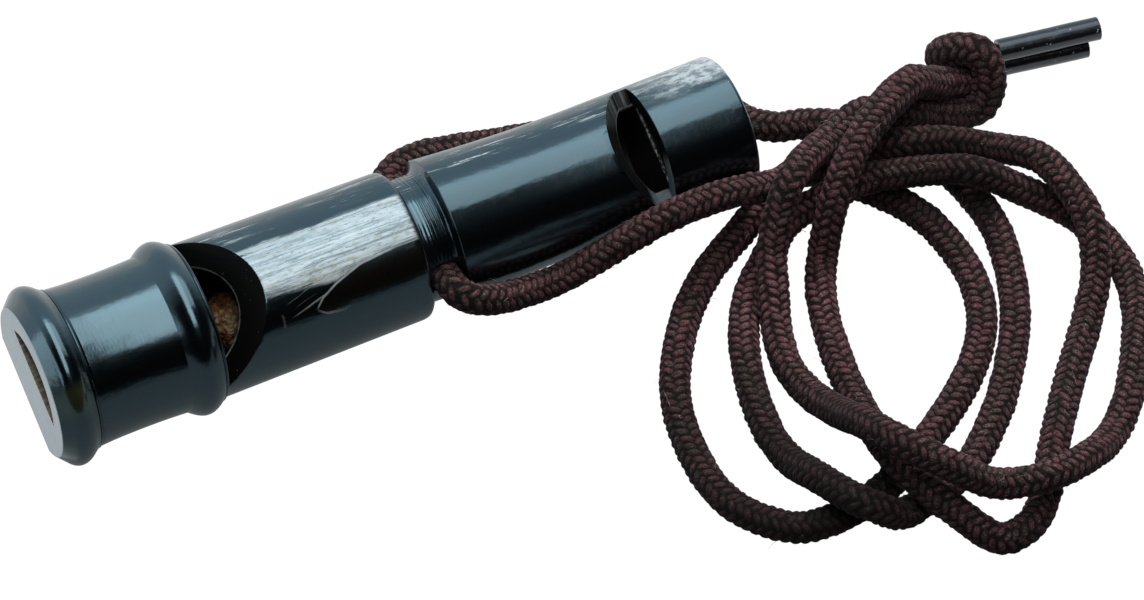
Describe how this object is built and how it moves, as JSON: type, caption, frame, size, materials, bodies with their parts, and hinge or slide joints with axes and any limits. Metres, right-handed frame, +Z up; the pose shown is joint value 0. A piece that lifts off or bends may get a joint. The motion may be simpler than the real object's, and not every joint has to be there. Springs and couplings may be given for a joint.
{
  "type": "dog whistle",
  "caption": "Double-ended hand whistle turned from horn, with a loose cork pea in one chamber, a plain whistle at the far end and a knotted braided cord through its neck.",
  "frame": {"origin": "middle of the whistle's box, at the table it lies on; the free cord is left out of that box", "axes": "+X along the whistle from its pea mouthpiece to its far end, +Z up from the table"},
  "size_m": [0.1364, 0.0781, 0.0217],
  "materials": {
    "horn": "polished black horn with pale streaks",
    "plug": "dull black",
    "cork": "raw cork",
    "cord": "dark brown braid",
    "sleeve": "glossy black"
  },
  "bodies": {
    "whistle": {"horn_body": "horn", "front_plug": "plug", "rear_plug": "plug", "cord_front_leg": "cord", "cord_back_leg": "cord", "cord_front_loops": "cord", "cord_back_loops": "cord", "cord_knot": "cord", "tip_sleeve_upper": "sleeve", "tip_sleeve_lower": "sleeve"},
    "pea": {"cork_pea": "cork"}
  },
  "joints": [
    {"name": "pea_whirl", "type": "hinge", "parent": "whistle", "child": "pea", "pos_m": [-0.01969, 0, 0.01026], "axis": [0.9996, 0, -0.029], "continuous": true}
  ]
}
